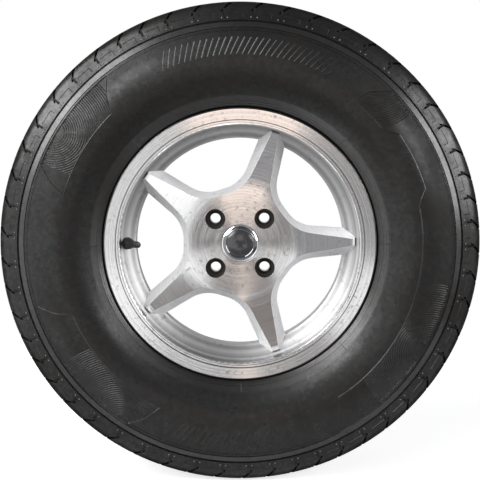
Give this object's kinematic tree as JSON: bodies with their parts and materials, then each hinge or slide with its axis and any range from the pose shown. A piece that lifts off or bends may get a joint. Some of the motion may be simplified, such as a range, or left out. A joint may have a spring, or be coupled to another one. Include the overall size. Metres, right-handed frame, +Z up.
{
  "type": "light truck tyre on an alloy wheel",
  "caption": "Tubeless light truck tyre fitted to a five spoke alloy wheel, with snap-in valve and centre cap.",
  "frame": {"origin": "centre of the wheel, on its axis and in the middle plane of the rim and tyre", "axes": "+Y along the wheel's axis towards the vehicle; the outer face looks along -Y; +Z up; +X to the right of someone who faces the outer face"},
  "size_m": [0.6919, 0.208, 0.692],
  "materials": {
    "tyre_rubber": "matt moulded rubber, with a slight sheen on the raised rings",
    "alloy": "diamond turned and polished, clear over bare metal",
    "chrome": "polished chrome plate",
    "badge_lacquer": "gloss black",
    "spring_steel": "drawn wire",
    "valve_rubber": "smooth moulded rubber",
    "brass": "turned",
    "white_plastic": "turned",
    "black_plastic": "moulded"
  },
  "bodies": {
    "wheel_assembly": {"tyre": "tyre_rubber", "wheel": "alloy", "centre_cap": "chrome", "cap_badge": "badge_lacquer", "cap_ring": "spring_steel", "valve_rubber": "valve_rubber", "valve_tube": "brass", "core_housing": "brass", "core_gasket": "white_plastic", "core_spring": "spring_steel"},
    "core_plunger": {"core_pin": "spring_steel", "core_cup": "brass", "core_seal": "valve_rubber"},
    "dust_cap_slide": {"dust_cap_seal": "valve_rubber"},
    "dust_cap": {"dust_cap": "black_plastic"}
  },
  "joints": [
    {"name": "core_pin_press", "type": "slide", "parent": "wheel_assembly", "child": "core_plunger", "axis": [-0.5736, 0.8192, 0], "range_m": [0, 0.0016], "stiffness_N_per_m": 1500, "springref_m": -0.001, "deforming": ["core_spring"]},
    {"name": "dust_cap_lift", "type": "slide", "parent": "wheel_assembly", "child": "dust_cap_slide", "axis": [0.5736, -0.8192, 0], "range_m": [0, 0.00875]},
    {"name": "dust_cap_turn", "type": "hinge", "parent": "dust_cap_slide", "child": "dust_cap", "pos_m": [-0.164, -0.05162, 0], "axis": [0.5736, -0.8192, 0], "range_deg": [0, 3960]}
  ],
  "couplings": [
    {"joint": "dust_cap_lift", "follows": "dust_cap_turn", "m_per_rad": 0.00012634}
  ]
}
